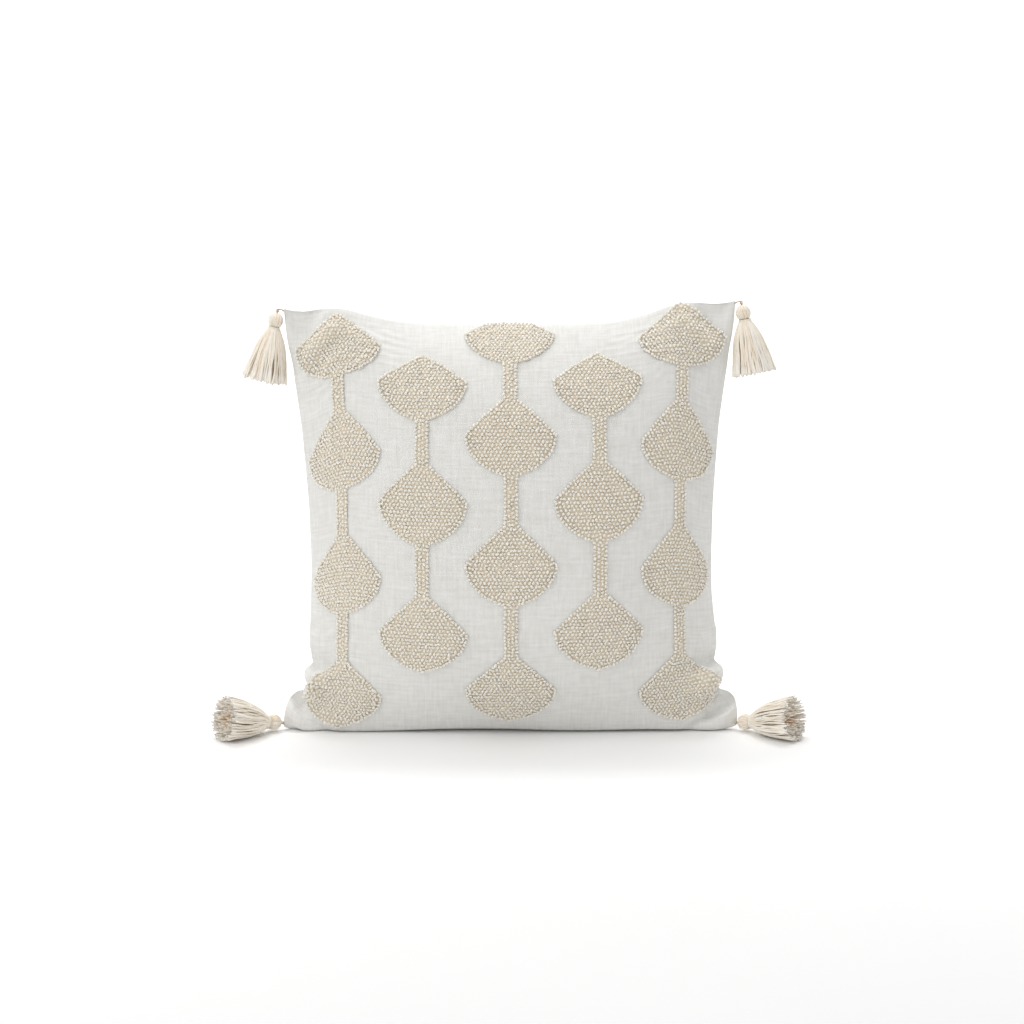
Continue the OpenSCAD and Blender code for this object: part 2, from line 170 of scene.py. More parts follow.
def link_sets(n, f, b):
    cell = FLAT / n
    U, V = material_grid(n)
    slack = np.ones((n + 1) ** 2 + (n - 1) ** 2)
    for ids in (f, b):                  # the cloth of the lower corners isn't stretched by the filling
        slack[ids] = 1 + 0.004 * smooth((0.10 - np.hypot(HALF - np.abs(U), V)) / 0.05)
    sets = []
    for ids in (f, b):
        sets += [(a, c, cell, 1.0, False) for a, c in links(ids, 1, 0) + links(ids, 0, 1)]
        sets += [(a, c, cell * 2 ** .5, 0.35, False) for a, c in links(ids, 1, 1) + links(ids, 1, -1)]
        for m, k in ((2, .12), (4, .12), (6, .06))[:3 if n > COARSE else 2]:
            sets += [(a, c, cell * m, k, True) for a, c in links(ids, m, 0) + links(ids, 0, m)]
    for col in (0, n):                  # a seam is stiffer than the cloth, except where it is creased
        seam = f[int(0.12 * n / FLAT):, col:col + 1]
        for m in (2, 3, 5, 8):
            sets += [(a, c, cell * m, .12, True) for a, c in links(seam, m, 0)]
    return [(a, c, rest * (slack[a] + slack[c]) / 2, k, fold) for a, c, rest, k, fold in sets]


def drawn_up(sets, goal, share):
    """The same links, shortened where the filling leaves the cloth slack, longer where it strains it."""
    out = []
    for a, c, rest, k, fold in sets:
        w = np.minimum(share[a], share[c])
        span = np.linalg.norm(goal[a] - goal[c], axis=1)
        out.append((a, c, rest * (1 - w) + np.clip(span, 0.90 * rest, 1.04 * rest) * w, k, fold))
    return out


def settle(n, X, steps, grow):
    """Lets the cloth come to rest. grow gives the filling's share of its full thickness over time."""
    f, b = panel_ids(n)
    U, V = material_grid(n)
    nv = len(X)
    goal, side, u, v = np.zeros((nv, 3)), np.zeros(nv), np.zeros(nv), np.zeros(nv)
    for ids, sd in ((b, 1), (f, -1)):
        goal[ids], side[ids], u[ids], v[ids] = goal_point(U, V, sd), sd, U, V
    for row in (0, -1):
        goal[f[row]] = (goal_point(U[row], V[row], -1) + goal_point(U[row], V[row], 1)) / 2
    to_side = HALF - np.abs(u)
    firm = smooth((to_side - 0.02) / 0.09)
    to_fold = (to_side + v * 0.8) / 1.28
    ear = smooth((to_fold - 0.024) / 0.03) * smooth((np.hypot(to_side, FLAT - v) - 0.03) / 0.06)
    pull = 0.05 * (0.02 + 0.98 * firm) * ear
    for row in (f[0], f[-1]):
        pull[row] = np.maximum(pull[row], 0.02)
    pull[[f[0, 0], f[0, -1], f[-1, 0], f[-1, -1]]] = 0.9
    pull3 = np.repeat(pull[:, None], 3, 1)
    sides = np.zeros(nv, bool)
    sides[f[:, 0]] = sides[f[:, -1]] = True
    pull3[sides, 0] = np.maximum(pull3[sides, 0], 0.12)
    pull3[sides, 2] = np.maximum(pull3[sides, 2], 0.06)
    inside = ~sides
    pull3[inside] = np.maximum(pull3[inside], 0.10 * (cheek(u, v) * (v > 0.05))[inside, None])
    creased = np.array([k for c in (0, -1) for k in f[:, c] if v[k] < SEAM_HELD])
    course = np.array([seam_course(v[k], int(np.sign(u[k]))) for k in creased])
    push = 0.25 * smooth(to_side / 0.03) * ear
    still = BASE_Y + LEAN * v / FLAT
    sets = drawn_up(link_sets(n, f, b), goal, ear)
    vel = np.zeros_like(X)
    for it in range(steps):
        g, old = grow(it / steps), X.copy()
        gy = still + (goal[:, 1] - still) * g
        vel[:, 2] -= 2e-5
        X = X + vel
        X += (np.stack([goal[:, 0], gy, goal[:, 2]], 1) - X) * pull3
        e = 0.9 * (smooth(it / steps / 0.5) if n == COARSE else 1)
        X[creased, 0] += e * (course[:, 0] - X[creased, 0])
        X[creased, 2] += e * (course[:, 1] - X[creased, 2])
        X[:, 1] += np.where((X[:, 1] - gy) * side < 0, (gy - X[:, 1]) * push, 0)
        for a, c, rest, k, fold in sets:
            d = X[a] - X[c]
            ln = np.sqrt((d * d).sum(1)) + 1e-12
            w = 0.5 * k * (ln - rest) / ln
            if fold:
                w = np.where(ln < rest, w, 0)
            d *= w[:, None]
            X[a] -= d
            X[c] += d
        cross = X[f, 1] > X[b, 1] - 0.0008  # the panels don't pass through each other
        cross[[0, -1]] = cross[:, [0, -1]] = False
        m = (X[f[cross], 1] + X[b[cross], 1]) / 2
        X[f[cross], 1], X[b[cross], 1] = m - 0.0004, m + 0.0004
        low = X[:, 2] < 0                   # the floor
        X[low, 2] = 0
        X[low, :2] = (X[low, :2] + old[low, :2]) / 2
        vel = np.clip((X - old) * 0.9, -0.003, 0.003)
    return X


def finer(X, n):
    """The same cloth on a grid of half the spacing."""
    out = np.zeros(((2 * n + 1) ** 2 + (2 * n - 1) ** 2, 3))
    for src, dst in zip(panel_ids(n)[::-1], panel_ids(2 * n)[::-1]):
        g = X[src]
        h = np.zeros((2 * n + 1, 2 * n + 1, 3))
        h[::2, ::2] = g
        h[1::2, ::2] = (g[:-1] + g[1:]) / 2
        h[:, 1::2] = (h[:, :-1:2] + h[:, 2::2]) / 2
        out[dst] = h
    return out


def simulate_cover():
    """Front and back grids of two flat panels, sewn together, filled slowly and stood on the lower seam."""
    n, rng = COARSE, np.random.default_rng(11)
    f, b = panel_ids(n)
    U, V = material_grid(n)
    X = np.zeros(((n + 1) ** 2 + (n - 1) ** 2, 3))
    bow = (1 - (U / HALF) ** 2) * np.sin(np.pi * V / FLAT)
    for ids, sd in ((b, 1), (f, -1)):
        X[ids] = np.stack([U, BASE_Y + LEAN * V / FLAT + sd * 0.01 * bow, V * 0.995], -1)
    X += 0.0008 * rng.standard_normal(X.shape)
    X = settle(n, X, 500, lambda t: 0.1 + 0.9 * smooth(t / 0.7))
    X = finer(X, n)
    X += 0.0002 * rng.standard_normal(X.shape)
    X = settle(MEDIUM, X, 350, lambda t: 1.0)
    X = settle(FINE, finer(X, MEDIUM), 160, lambda t: 1.0)
    n = FINE
    f, b = panel_ids(n)
    return X[f], X[b]


def pressed(grid, other, side):
    """The panel with its creases pressed in, and the middle of its lower edge lifted a little."""
    n = grid.shape[0] - 1
    U, V = material_grid(n)
    nrm = np.cross(np.gradient(grid, axis=1), np.gradient(grid, axis=0))
    nrm = nrm / np.linalg.norm(nrm, axis=-1, keepdims=True) * (1 if side < 0 else -1)
    g = grid.copy()
    t = np.linspace(0, 1, CREASE_MARKS)[:, None]
    fade = np.sin(np.pi * np.linspace(0.16, 0.97, CREASE_MARKS)) ** 0.6
    for points, width, depth in CREASES:
        start, middle, end = np.array(points)
        path = start * (1 - t) * (1 - 2 * t) + middle * 4 * t * (1 - t) + end * t * (2 * t - 1)
        off = np.hypot(U[..., None] - path[:, 0], V[..., None] - path[:, 1])
        press = (depth if side < 0 else depth * 0.5) * np.max(np.exp(-(off / width) ** 2) * fade, -1)
        g -= nrm * press[..., None]
    middle = (grid[..., 1] + other[..., 1]) / 2
    if side < 0:
        g[..., 1] = np.minimum(g[..., 1], np.maximum(grid[..., 1], middle - 0.0015))
    else:
        g[..., 1] = np.maximum(g[..., 1], np.minimum(grid[..., 1], middle + 0.0015))
    s = U / HALF
    rise = 0.0034 * np.exp(-((s + 0.15) / 0.34) ** 2) + 0.0022 * np.exp(-((s - 0.62) / 0.28) ** 2)
    g[..., 2] += rise * (1 - smooth(grid[..., 2] / 0.024)) * smooth(V / 0.008)
    g[[0, -1]], g[:, [0, -1]] = grid[[0, -1]], grid[:, [0, -1]]
    return g


# ------------------------------------------------ mesh helpers
def make_mesh(name, verts, quads, attrs=(), materials=(), material_index=None):
    """A smooth-shaded object from arrays of points and four-sided faces."""
    verts, quads = np.asarray(verts, np.float32).reshape(-1, 3), np.asarray(quads, np.int32).reshape(-1, 4)
    me = bpy.data.meshes.new(name)
    me.vertices.add(len(verts))
    me.vertices.foreach_set("co", verts.ravel())
    me.loops.add(quads.size)
    me.loops.foreach_set("vertex_index", quads.ravel())
    me.polygons.add(len(quads))
    me.polygons.foreach_set("loop_start", np.arange(0, quads.size, 4, dtype=np.int32))
    me.polygons.foreach_set("use_smooth", np.ones(len(quads), bool))
    for m in materials:
        me.materials.append(m)
    if material_index is not None:
        me.polygons.foreach_set("material_index", np.asarray(material_index, np.int32))
    for key, values in attrs:
        values = np.asarray(values, np.float32)
        if values.ndim == 1:
            me.attributes.new(key, "FLOAT", "POINT").data.foreach_set("value", values)
        else:
            me.attributes.new(key, "FLOAT_VECTOR", "POINT").data.foreach_set("vector", values.ravel())
    me.update(calc_edges=True)
    me.validate()
    o = bpy.data.objects.new(name, me)
    bpy.context.scene.collection.objects.link(o)
    return o


def grid_quads(rows, cols, flip=False):
    i = np.arange(rows * cols).reshape(rows, cols)
    q = np.stack([i[:-1, :-1], i[:-1, 1:], i[1:, 1:], i[1:, :-1]], -1).reshape(-1, 4)
    return q[:, ::-1] if flip else q


def ring_angles(sides):
    return 2 * np.pi * np.arange(sides) / sides


def tubes(paths, radii, sides, closed=False):
    """Points and quads of tubes along equally long paths: paths [tube][point][xyz], radii [tube][point]."""
    n, m = paths.shape[:2]
    if closed:
        t = np.roll(paths, -1, 1) - np.roll(paths, 1, 1)
    else:
        t = np.gradient(paths, axis=1)
    t /= np.linalg.norm(t, axis=-1, keepdims=True) + 1e-12
    ref = np.zeros_like(t)
    ref[..., 0], ref[..., 1], ref[..., 2] = 0.317, 0.871, 0.374
    a = np.cross(t, ref)
    a /= np.linalg.norm(a, axis=-1, keepdims=True) + 1e-12
    b = np.cross(t, a)
    ang = ring_angles(sides)[:, None]
    ring = (a[:, :, None] * np.cos(ang) + b[:, :, None] * np.sin(ang)) * radii[:, :, None, None]
    pts = (paths[:, :, None] + ring).reshape(-1, 3)
    base = (np.arange(n * m) * sides).reshape(n, m)
    lo = base if closed else base[:, :-1]
    hi = np.roll(base, -1, 1) if closed else base[:, 1:]
    k = np.arange(sides)
    k2 = (k + 1) % sides
    lo, hi = lo[..., None], hi[..., None]
    return pts, np.stack([lo + k, lo + k2, hi + k2, hi + k], -1).reshape(-1, 4)


def per_point(values, sides):
    """One value per path point, repeated round its ring."""
    return np.repeat(np.asarray(values).ravel(), sides)


def yarn_attributes(depth, tone, sides):
    """What the yarn material reads on tubes: depth (low depth is painted in the shade colour) and tone by
    path point, and the turn of the fibres.
    """
    n, m = depth.shape
    twist = np.repeat(np.tile(np.arange(m) * TWIST_STEP, n), sides) + np.tile(ring_angles(sides), n * m)
    return [("depth", per_point(depth, sides)), ("tone", per_point(tone, sides)), ("twist", twist)]


def core_attributes(size, depth):
    """The same for a surface of buried yarn, all of one depth, so all with one share of painted shade."""
    return [("depth", np.full(size, depth)), ("tone", np.full(size, 0.5)), ("twist", np.zeros(size))]


# ------------------------------------------------ materials
class Nodes:
    """Short names for building a node tree."""

    def __init__(self, name):
        self.mat = bpy.data.materials.new(name)
        self.mat.use_nodes = True
        self.tree = self.mat.node_tree
        self.bsdf = self.tree.nodes["Principled BSDF"]

    def add(self, kind, props=(), **inputs):
        n = self.tree.nodes.new(kind)
        for key, value in dict(props).items():
            setattr(n, key, value)
        for key, value in inputs.items():
            self.put(n, key.replace("_", " "), value)
        return n

    def put(self, node, key, value):
        sock = node.inputs[int(key)] if key.isdigit() else node.inputs[key]
        if hasattr(value, "is_output") and value.is_output:
            self.tree.links.new(value, sock)
        else:
            sock.default_value = value

    def math(self, op, a, b=0.0):
        n = self.tree.nodes.new("ShaderNodeMath")
        n.operation = op
        self.put(n, "0", a)
        self.put(n, "1", b)
        return n.outputs[0]

    def attribute(self, key):
        return self.add("ShaderNodeAttribute", {"attribute_name": key})

    def noise(self, vector, scale, detail=2.0):
        m = self.add("ShaderNodeMapping", Vector=vector)
        m.inputs["Scale"].default_value = scale
        return self.add("ShaderNodeTexNoise", Vector=m.outputs[0], Scale=1.0, Detail=detail).outputs["Fac"]

    def ramp(self, fac, stops):
        n = self.add("ShaderNodeValToRGB", Fac=fac)
        r = n.color_ramp
        while len(r.elements) < len(stops):
            r.elements.new(0.5)
        for e, (pos, colour) in zip(r.elements, stops):
            e.position, e.color = pos, (*colour, 1)
        return n.outputs["Color"]

    def finish(self, colour, height=None, depth=0.0002, strength=0.6, roughness=0.9, sheen=0.0,
               metallic=0.0):
        """Sets the surface. height drives the bump, which is depth metres deep."""
        self.put(self.bsdf, "Base Color", colour)
        self.bsdf.inputs["Roughness"].default_value = roughness
        self.bsdf.inputs["Metallic"].default_value = metallic
        self.bsdf.inputs["Specular IOR Level"].default_value = 0.5 if metallic else 0.2
        if sheen:
            self.bsdf.inputs["Sheen Weight"].default_value = sheen
            self.bsdf.inputs["Sheen Roughness"].default_value = 0.6
        if height is not None:
            bump = self.add("ShaderNodeBump", Height=height, Strength=strength, Distance=depth)
            self.tree.links.new(bump.outputs[0], self.bsdf.inputs["Normal"])
        return self.mat


def woven_material(name, light, dark, pitch=0.0011, vector=None, slub=1.0):
    """Plain weave: threads both ways, each of its own shade and with thick places along it."""
    m = Nodes(name)
    source = m.add("ShaderNodeTexCoord") if vector else m.attribute("cloth")
    vec = source.outputs[vector or "Vector"]
    xyz = m.add("ShaderNodeSeparateXYZ", Vector=vec)
    per = 1 / pitch
    su = m.math("SINE", m.math("MULTIPLY", xyz.outputs[0], math.pi * per))
    sv = m.math("SINE", m.math("MULTIPLY", xyz.outputs[1], math.pi * per))
    over = m.math("MULTIPLY", su, sv)
    warp = m.noise(vec, (per * 0.75, 22, 22), 3)
    weft = m.noise(vec, (22, per * 0.75, 22), 3)
    thick_u = m.noise(vec, (per * 0.33, 55, 55), 2)
    thick_v = m.noise(vec, (55, per * 0.33, 55), 2)
    patch = m.noise(vec, (9, 9, 9), 4)
    slubs = m.math("MULTIPLY", m.math("ADD", thick_u, thick_v), slub)
    threads = m.math("ADD", m.math("ADD", warp, weft), slubs)
    tone = m.math("DIVIDE", threads, 2 + 2 * slub)
    tone = m.math("ADD", tone, m.math("MULTIPLY", over, 0.03))
    tone = m.math("ADD", tone, m.math("MULTIPLY", m.math("SUBTRACT", patch, 0.5), 0.12))
    colour = m.ramp(tone, ((0.36, dark), (0.62, light)))
    height = m.math("ADD", m.math("MULTIPLY", over, 0.35), m.math("MULTIPLY", threads, 0.9))
    return m.finish(colour, height, depth=0.00035, strength=0.55, roughness=0.92, sheen=0.15)


def yarn_material(name, light, dark, shade, deep=0.55):
    """Spun yarn. depth is 0 where it is buried and 1 on the outside; buried yarn is painted in the shade
    colour, as painted shade. tone differs from strand to strand.
    """
    m = Nodes(name)
    depth = m.attribute("depth").outputs["Fac"]
    tone = m.attribute("tone").outputs["Fac"]
    twist = m.attribute("twist").outputs["Fac"]
    vec = m.add("ShaderNodeTexCoord").outputs["Object"]
    fuzz = m.noise(vec, (1400, 1400, 1400), 3)
    ply = m.math("SINE", twist)
    mixed = m.math("ADD", m.math("MULTIPLY", tone, 0.5), m.math("MULTIPLY", fuzz, 0.5))
    outer = m.ramp(mixed, ((0.25, dark), (0.7, light)))
    # painted shade: the shade colour is mixed in where depth is low, and fades out by deep
    mix = m.add("ShaderNodeMix", {"data_type": "RGBA"})
    m.put(mix, "0", m.ramp(depth, ((0.0, (0, 0, 0)), (deep, (1, 1, 1)))))
    mix.inputs[6].default_value = (*shade, 1)
    m.tree.links.new(outer, mix.inputs[7])
    height = m.math("ADD", m.math("MULTIPLY", ply, 0.5), m.math("MULTIPLY", fuzz, 0.8))
    return m.finish(mix.outputs[2], height, depth=0.00025, strength=0.6, roughness=0.95, sheen=0.3)


def metal_material(name):
    m = Nodes(name)
    vec = m.add("ShaderNodeTexCoord").outputs["Object"]
    grain = m.noise(vec, (300, 2500, 2500), 3)
    colour = m.ramp(grain, ((0.3, (0.50, 0.50, 0.49)), (0.7, (0.66, 0.66, 0.65))))
    return m.finish(colour, grain, depth=0.00003, strength=0.3, roughness=0.35, metallic=1.0)


def fibre_material(name):
    m = Nodes(name)
    vec = m.add("ShaderNodeTexCoord").outputs["Object"]
    tuft = m.noise(vec, (60, 60, 60), 6)
    colour = m.ramp(tuft, ((0.3, (0.80, 0.80, 0.79)), (0.7, (0.92, 0.92, 0.91))))
    return m.finish(colour, tuft, depth=0.004, strength=0.8, roughness=1.0, sheen=0.3)


def coil_material(name):
    m = Nodes(name)
    vec = m.add("ShaderNodeTexCoord").outputs["Object"]
    grain = m.noise(vec, (900, 900, 900), 2)
    colour = m.ramp(grain, ((0.3, (0.70, 0.68, 0.63)), (0.7, (0.80, 0.78, 0.74))))
    return m.finish(colour, grain, depth=0.00005, strength=0.3, roughness=0.45)


# ------------------------------------------------ cover
EDGE_TURN, EDGE_OUT = 0.0015, 0.0007  # an edge's fold, and how far the seam stands out
SEWN_GAP, ZIP_GAP = 0.0004, 0.0036  # from the seam's middle to each panel, sewn and beside the zip


def add_edge_folds(grid, side):
    """The panel with its edges turned in: sideways and down at the seams, and up beside the zip below."""
    n = grid.shape[0] - 1
    g = grid.copy()
    s = np.linspace(-1, 1, n + 1)
    open_share = 1 - smooth((np.abs(s) - 0.77) / 0.23)
    gap = SEWN_GAP + (ZIP_GAP - SEWN_GAP) * open_share
    edge = np.zeros((n + 1, n + 1), bool)
    edge[[0, -1]] = edge[:, [0, -1]] = True
    g[edge, 1] += side * 0.0005
    g[0, :, 1] = g[0, :, 1] * 0.5 + (ZIP_Y + side * gap) * 0.5
    g[0, :, 1] = np.where(open_share > 0.02, ZIP_Y + side * gap, g[0, :, 1])
    out = np.zeros((n + 3, n + 3, 3))
    g[:, 0, 0] -= EDGE_OUT
    g[:, -1, 0] += EDGE_OUT
    g[-1, :, 2] += EDGE_OUT
    out[1:-1, 1:-1] = g
    inward = g[:, [0, -1]].copy()
    inward[:, 0, 0] += EDGE_TURN
    inward[:, 1, 0] -= EDGE_TURN
    inward[:, :, 1] -= side * 0.0004
    out[1:-1, [0, -1]] = inward
    low, top = g[0].copy(), g[-1].copy()
    low[:, 2] += 0.0012 + 0.0052 * open_share
    top[:, 2] -= EDGE_TURN
    top[:, 1] -= side * 0.0004
    out[0, 1:-1], out[-1, 1:-1] = low, top
    for i, j, ii, jj in ((0, 0, 0, 1), (0, -1, 0, -2), (-1, 0, -1, 1), (-1, -1, -1, -2)):
        out[i, j] = (out[ii, jj] + out[1 if i == 0 else -2, j]) / 2
    return out


def cover_panel(name, node, grid, side, material):
    n = grid.shape[0] - 1
    U, V = material_grid(n)
    cloth = np.pad(np.stack([U, V, 0 * U], -1), ((1, 1), (1, 1), (0, 0)), mode="edge")
    pts = add_edge_folds(grid, side)
    quads = grid_quads(n + 3, n + 3, flip=side > 0)
    o = make_mesh(name, pts, quads, [("cloth", cloth.reshape(-1, 3))], [material])
    solid = o.modifiers.new("thickness", "SOLIDIFY")
    solid.thickness, solid.offset = CLOTH_T, -1
    sub = o.modifiers.new("smooth", "SUBSURF")
    sub.levels = sub.render_levels = 1
    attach(o, "cushion")
    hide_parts(node)
    return o


class Surface:
    """The front panel as a function of material coordinates."""

    def __init__(self, grid):
        self.g, self.n = grid, grid.shape[0] - 1
        du, dv = np.gradient(grid, axis=1), np.gradient(grid, axis=0)
        nrm = np.cross(du, dv)
        self.normal = nrm / np.linalg.norm(nrm, axis=-1, keepdims=True)
        self.du = du / np.linalg.norm(du, axis=-1, keepdims=True)

    def sample(self, field, u, v):
        x = np.clip((np.asarray(u) + HALF) / FLAT * self.n, 0, self.n - 1e-6)
        y = np.clip(np.asarray(v) / FLAT * self.n, 0, self.n - 1e-6)
        i, j = y.astype(int), x.astype(int)
        fy, fx = (y - i)[..., None], (x - j)[..., None]
        return ((field[i, j] * (1 - fx) + field[i, j + 1] * fx) * (1 - fy)
                + (field[i + 1, j] * (1 - fx) + field[i + 1, j + 1] * fx) * fy)

    def frame(self, u, v):
        """Point, direction across, direction up and outward normal."""
        p, nrm, t = (self.sample(q, u, v) for q in (self.g, self.normal, self.du))
        nrm = nrm / np.linalg.norm(nrm, axis=-1, keepdims=True)
        t = t - nrm * (t * nrm).sum(-1, keepdims=True)
        t /= np.linalg.norm(t, axis=-1, keepdims=True)
        return p, t, np.cross(nrm, t), nrm


# ------------------------------------------------ tufting
LEAF_LOW, LEAF_HIGH, PEAK_HIGH, LEAF_W, STEM_W = 0.0405, 0.0365, 0.033, 0.091, 0.0146
COLUMN_PITCH, LEAF_PITCH, FIRST_LEAF = 0.087, 0.122, 0.0310
OUTER_SHARE = 0.981  # the outermost columns' leaves are this much closer together
DROP = (0.012, 0.005, 0.0, 0.002, 0.005)  # how much lower than the middle column each one is sewn
SPACING = 0.0039  # from one yarn loop to the next
TWIST_STEP = 2.2  # how far the fibres turn from one path point to the next
GROUND_EDGE = 0.0012  # from the outline in to the edge of the layer under the loops


def leaf_half(f, least, is_top):
    """Half width of a leaf at f above its lowest point, and of the stem or the peak above it."""
    f = np.asarray(f, float)
    low = LEAF_W / 2 * np.power(np.clip(1 - np.power(np.clip(1 - f / LEAF_LOW, 0, 1), 2), 1e-9, 1), 0.62)
    if is_top:
        t = np.clip((f - LEAF_LOW) / PEAK_HIGH, 0, 1)
        up = LEAF_W / 2 * np.power(1 - t ** 1.1, 0.9)
        up = np.where(t >= 1, 0, up)
    else:
        up = STEM_W / 2 + (LEAF_W - STEM_W) / 2 * (1 - np.clip((f - LEAF_LOW) / LEAF_HIGH, 0, 1) ** 1.1)
    return np.where(f < 0, 0, np.where(f < LEAF_LOW, np.maximum(low, least), up))


def leaf_starts(col):
    """How far up the cloth each leaf of a column begins; the leaves are further apart near the floor."""
    w = (np.arange(4 if col % 2 else 3) + (0 if col % 2 else 0.5)) * LEAF_PITCH
    return FIRST_LEAF - DROP[col - 1] + (1.07 * w - 0.2 * w * w) * (OUTER_SHARE if col in (1, 5) else 1)


def column_half(v, col):
    """Half width of a column of leaves at v up the cloth; 0 outside it."""
    v, starts = np.asarray(v, float), leaf_starts(col)
    w = np.zeros_like(v)
    for k, start in enumerate(starts):
        top = k == len(starts) - 1
        end = 1.0 if top else starts[k + 1]
        here = (v >= start) & (v < end)
        w = np.where(here, leaf_half(v - start, 0.003 if k == 0 else STEM_W / 2, top), w)
    return np.where(v > FLAT - 0.002, 0, w)


def outline(col):
    """The right-hand edge of a column's outline, as closely spaced points."""
    v = np.linspace(0, FLAT, 4000)
    w = column_half(v, col)
    return np.stack([w, v], -1)[w > 0]


def loop_sites(col, rng):
    """Places of the yarn loops in one column: a row along the outline, and the rest spread out inside it."""
    line = outline(col)
    turn = np.gradient(line, axis=0)
    inner = np.stack([-turn[:, 1], turn[:, 0]], -1)
    inner /= np.linalg.norm(inner, axis=1, keepdims=True) + 1e-12
    row = line + inner * 0.0017
    row = row[(row[:, 0] > 0) & (column_half(row[:, 1], col) - row[:, 0] > 0.0010)]
    step = np.r_[0, np.cumsum(np.linalg.norm(np.diff(row, axis=0), axis=1))]
    marks = np.linspace(0, step[-1], int(step[-1] / (SPACING * 0.95)))
    right = np.stack([np.interp(marks, step, row[:, 0]), np.interp(marks, step, row[:, 1])], -1)
    edge = np.concatenate([right, right * (-1, 1)])
    cells = [np.stack([np.arange(-12, 13) * SPACING + (r % 2) * SPACING / 2, np.full(25, v)], -1)
             for r, v in enumerate(np.arange(0.002, FLAT, SPACING * 0.87))]
    cells = np.concatenate(cells)
    cells += rng.normal(0, 0.0004, cells.shape)
    cells = cells[column_half(cells[:, 1], col) - np.abs(cells[:, 0]) > SPACING * 0.8]
    far = np.array([np.min(np.hypot(*(edge - c).T)) for c in cells]) > SPACING * 0.62
    cells = cells[far]
    everything = np.concatenate([edge, cells])
    inside = np.arange(len(edge), len(everything))
    for _ in range(40):                 # the inner loops push each other, and are held in by the outline
        push = np.zeros_like(everything)
        order = np.argsort(everything[:, 1])
        p = everything[order]
        for k in range(1, 60):
            d = p[k:] - p[:-k]
            near = np.hypot(d[:, 0], d[:, 1]) + 1e-9
            share = np.clip(1 - near / (SPACING * 1.12), 0, 1)[:, None] * d / near[:, None]
            push[order[k:]] += share
            push[order[:-k]] -= share
            if np.min(d[:, 1]) > SPACING * 1.12:
                break
        everything[inside] += push[inside] * SPACING * 0.18
    return everything + rng.normal(0, 0.00012, everything.shape)


def loop_template(points=7):
    """Two plies of yarn twisted round each other over one low arch."""
    th = np.linspace(-0.30, math.pi + 0.30, points)
    arch = np.stack([0.00047 * np.cos(th), 0 * th, 0.0012 + 0.00075 * np.sin(th)], -1)
    out = np.stack([np.cos(th), 0 * th, np.sin(th)], -1)
    plies = []
    for k in (0, 1):
        ang = ((th - math.pi / 2) * 0.75 + math.pi * k + 0.3)[:, None]
        plies.append(arch + 0.00052 * (np.cos(ang) * np.array([0, 1.0, 0]) + np.sin(ang) * out))
    return np.stack(plies)


def tufted_column(k, surface, loops_mat, shaded_ground_mat):
    rng = np.random.default_rng(100 + k)
    centre = (k - 3) * COLUMN_PITCH
    sites = loop_sites(k, rng)
    n = len(sites)
    p, t, up, nrm = surface.frame(centre + sites[:, 0], sites[:, 1])
    yaw = rng.uniform(0, math.pi, n)
    tilt = rng.normal(0, 0.16, (n, 2))
    a = t * np.cos(yaw)[:, None] + up * np.sin(yaw)[:, None]
    b = np.cross(nrm, a)
    nz = nrm + a * tilt[:, :1] + b * tilt[:, 1:]
    nz /= np.linalg.norm(nz, axis=-1, keepdims=True)
    size = rng.normal(1.0, 0.07, n)
    plies = loop_template()
    m = plies.shape[1]
    paths = np.zeros((n, 2, m, 3))
    for q in range(2):
        local = plies[q]
        paths[:, q] = (p[:, None] + (a[:, None] * local[:, 0, None] + b[:, None] * local[:, 1, None]
                                     + nz[:, None] * (local[:, 2, None] + 0.0002)) * size[:, None, None])
    paths = paths.reshape(n * 2, m, 3)
    radii = 0.00088 * (1 + 0.07 * rng.standard_normal((n * 2, m))) * np.repeat(size, 2)[:, None]
    sides = 6
    pts, quads = tubes(paths, radii, sides)
    # painted shade: the lower the point on the arch, the more of the shade colour it gets
    height = np.repeat(np.clip((plies[..., 2] + 0.0002) / 0.0022, 0, 1)[None], n, 0).reshape(n * 2, m)
    tone = np.repeat(np.clip(rng.normal(0.5, 0.2, n), 0, 1), 2 * m)
    o = make_mesh(f"tufted_loops_{k}", pts, quads, yarn_attributes(height, tone, sides), [loops_mat])
    ground = tuft_ground(k, centre, surface, shaded_ground_mat)
    for piece in (o, ground):
        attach(piece, "cushion")
        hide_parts(f"tufted_column_{k}")


def tuft_ground(k, centre, surface, material):
    """The yarn's feet: a low dense layer under the loops, with the column's outline. It is coloured tan as
    painted shade in the gaps between the loops.
    """
    line = outline(k)
    keep = np.unique(np.r_[np.arange(0, len(line), 18), len(line) - 1])
    w, v = line[keep].T
    t = np.linspace(-1, 1, 15)
    uu = centre + (w[:, None] - GROUND_EDGE) * t
    p, _, _, nrm = surface.frame(uu, np.repeat(v[:, None], len(t), 1))
    height = 0.0012 * (1 - np.abs(t) ** 10)[None, :, None] * np.ones((len(v), 1, 1))
    height[[0, -1]] = 0
    pts = p + nrm * (height - 0.0002)
    # one low depth throughout, so mostly the painted shade colour
    attrs = core_attributes(len(v) * len(t), 0.15)
    return make_mesh(f"tufted_ground_{k}", pts, grid_quads(len(v), len(t)), attrs, [material])


